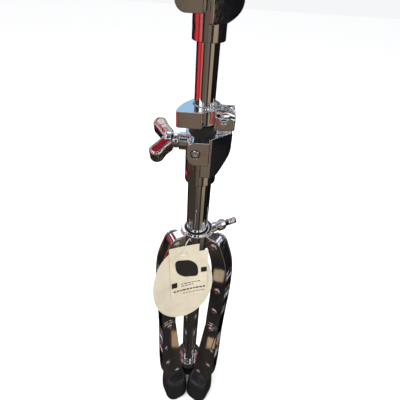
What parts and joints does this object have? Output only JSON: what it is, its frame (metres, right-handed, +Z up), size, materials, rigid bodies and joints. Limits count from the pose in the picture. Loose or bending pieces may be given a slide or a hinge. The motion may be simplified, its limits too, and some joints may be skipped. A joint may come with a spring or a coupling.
{
  "type": "hi-hat stand",
  "caption": "Folded double-braced tripod stand with sliding leg collar, telescoping chrome tubes, wing-bolt clamps, hinged memory lock, cymbal seat, rod and clutch.",
  "frame": {"origin": "centre of the flat lower face of the base tube's end cap", "axes": "+Z up along the tubes; -Y is the front, where the hang tags are; +X to the right seen from the front"},
  "size_m": [0.1084, 0.1198, 1.0656],
  "materials": {
    "chrome": "mirror-bright chrome plate on drawn and pressed steel",
    "cast_chrome": "chrome plate on die-cast zinc, slightly softer",
    "nylon": "black moulded nylon",
    "rubber": "black moulded rubber, satin",
    "felt": "dense dark grey wool felt",
    "paper": "uncoated cream card",
    "elastic": "pale elastic cord"
  },
  "bodies": {
    "base": {"base_tube": "chrome", "base_tube_cap": "nylon", "strut_collar": "cast_chrome", "lower_clamp_casting": "cast_chrome", "lower_clamp_screw": "chrome", "lower_clamp_bushing": "nylon"},
    "lower_wing": {"lower_clamp_wing_bolt": "cast_chrome"},
    "strut_right": {"strut_right_strip_a": "chrome", "strut_right_strip_b": "chrome", "strut_right_pin": "chrome"},
    "leg_right": {"leg_right_strip_a": "chrome", "leg_right_strip_b": "chrome", "leg_right_foot": "rubber", "leg_right_top_pin": "chrome", "leg_right_rivet": "chrome", "leg_right_spacer": "chrome"},
    "strut_rear": {"strut_rear_strip_a": "chrome", "strut_rear_strip_b": "chrome", "strut_rear_pin": "chrome"},
    "leg_rear": {"leg_rear_strip_a": "chrome", "leg_rear_strip_b": "chrome", "leg_rear_foot": "rubber", "leg_rear_top_pin": "chrome", "leg_rear_rivet": "chrome", "leg_rear_spacer": "chrome"},
    "strut_left": {"strut_left_strip_a": "chrome", "strut_left_strip_b": "chrome", "strut_left_pin": "chrome"},
    "leg_left": {"leg_left_strip_a": "chrome", "leg_left_strip_b": "chrome", "leg_left_foot": "rubber", "leg_left_top_pin": "chrome", "leg_left_rivet": "chrome", "leg_left_spacer": "chrome"},
    "collar": {"leg_collar": "cast_chrome", "leg_collar_bushing": "nylon", "hang_tag_tie": "elastic"},
    "collar_wing": {"leg_collar_wing_bolt": "cast_chrome"},
    "tags": {"hang_tag_oval": "paper", "hang_tag_card": "paper"},
    "middle": {"middle_tube": "chrome", "lower_lock_body": "cast_chrome", "upper_clamp_casting": "cast_chrome", "upper_clamp_bushing": "nylon"},
    "lock_gate": {"lower_lock_gate": "cast_chrome"},
    "lock_bolt": {"lower_lock_bolt": "chrome"},
    "upper_wing": {"upper_clamp_wing_bolt": "cast_chrome"},
    "upper": {"upper_tube": "chrome", "upper_lock": "cast_chrome", "upper_lock_bolt": "chrome", "seat_holder": "cast_chrome"},
    "tilt_knob": {"tilt_screw": "chrome"},
    "seat": {"seat_cup": "cast_chrome", "seat_felt": "felt"},
    "rod": {"center_rod": "chrome"},
    "clutch": {"clutch_body": "chrome", "clutch_nut": "chrome", "clutch_lower_felt": "felt", "clutch_upper_felt": "felt"},
    "clutch_screw": {"clutch_wing_screw": "cast_chrome"}
  },
  "joints": [
    {"name": "strut_rear_fold", "type": "hinge", "parent": "base", "child": "strut_rear", "pos_m": [0, 0.03, 0.014], "axis": [-1, 0, 0], "range_deg": [0, 45]},
    {"name": "leg_rear_fold", "type": "hinge", "parent": "strut_rear", "child": "leg_rear", "pos_m": [0, 0.043, 0.194], "axis": [-1, 0, 0], "range_deg": [-90, 0]},
    {"name": "strut_right_fold", "type": "hinge", "parent": "base", "child": "strut_right", "pos_m": [0.02598, -0.015, 0.014], "axis": [0.5, 0.866, 0], "range_deg": [0, 45]},
    {"name": "leg_right_fold", "type": "hinge", "parent": "strut_right", "child": "leg_right", "pos_m": [0.03724, -0.0215, 0.194], "axis": [0.5, 0.866, 0], "range_deg": [-90, 0]},
    {"name": "strut_left_fold", "type": "hinge", "parent": "base", "child": "strut_left", "pos_m": [-0.02598, -0.015, 0.014], "axis": [0.5, -0.866, 0], "range_deg": [0, 45]},
    {"name": "leg_left_fold", "type": "hinge", "parent": "strut_left", "child": "leg_left", "pos_m": [-0.03724, -0.0215, 0.194], "axis": [0.5, -0.866, 0], "range_deg": [-90, 0]},
    {"name": "collar_fold", "type": "hinge", "parent": "leg_rear", "child": "collar", "pos_m": [0, 0.03, 0.374], "axis": [-1, 0, 0], "range_deg": [0, 45]},
    {"name": "collar_wing_turn", "type": "hinge", "parent": "collar", "child": "collar_wing", "pos_m": [0, 0, 0.374], "axis": [0.866, 0.5, 0], "continuous": true},
    {"name": "tag_swing", "type": "hinge", "parent": "collar", "child": "tags", "pos_m": [-0.012, -0.044, 0.388], "axis": [-0.9397, -0.342, 0], "range_deg": [0, 35]},
    {"name": "lower_wing_turn", "type": "hinge", "parent": "base", "child": "lower_wing", "pos_m": [-0.03, -0.006, 0.5048], "axis": [-1, 0, 0], "continuous": true},
    {"name": "middle_slide", "type": "slide", "parent": "base", "child": "middle", "axis": [0, 0, 1], "range_m": [0, 0.3]},
    {"name": "lock_gate_swing", "type": "hinge", "parent": "middle", "child": "lock_gate", "pos_m": [0, 0.0175, 0.5328], "axis": [0, 0, 1], "range_deg": [0, 50]},
    {"name": "lock_bolt_turn", "type": "hinge", "parent": "lock_gate", "child": "lock_bolt", "pos_m": [0.0174, -0.02, 0.5328], "axis": [0, -1, 0], "continuous": true},
    {"name": "upper_wing_turn", "type": "hinge", "parent": "middle", "child": "upper_wing", "pos_m": [-0.03, -0.012, 0.6273], "axis": [-1, 0, 0], "continuous": true},
    {"name": "upper_slide", "type": "slide", "parent": "middle", "child": "upper", "axis": [0, 0, 1], "range_m": [0, 0.3]},
    {"name": "tilt_screw_turn", "type": "hinge", "parent": "upper", "child": "tilt_knob", "pos_m": [0.019, 0, 0.7013], "axis": [0, 0, 1], "continuous": true},
    {"name": "seat_tilt", "type": "hinge", "parent": "upper", "child": "seat", "pos_m": [0, 0, 0.7163], "axis": [0, -1, 0], "range_deg": [0, 5]},
    {"name": "rod_slide", "type": "slide", "parent": "upper", "child": "rod", "axis": [0, 0, 1], "range_m": [0, 0.035]},
    {"name": "clutch_slide", "type": "slide", "parent": "rod", "child": "clutch", "axis": [0, 0, 1], "range_m": [-0.02, 0.08]},
    {"name": "clutch_screw_turn", "type": "hinge", "parent": "clutch", "child": "clutch_screw", "pos_m": [0.012, 0, 0.8436], "axis": [1, 0, 0], "continuous": true}
  ],
  "couplings": [
    {"joint": "leg_rear_fold", "follows": "strut_rear_fold", "ratio": -2},
    {"joint": "strut_right_fold", "follows": "strut_rear_fold", "ratio": 1},
    {"joint": "leg_right_fold", "follows": "strut_rear_fold", "ratio": -2},
    {"joint": "strut_left_fold", "follows": "strut_rear_fold", "ratio": 1},
    {"joint": "leg_left_fold", "follows": "strut_rear_fold", "ratio": -2},
    {"joint": "collar_fold", "follows": "strut_rear_fold", "ratio": 1}
  ]
}
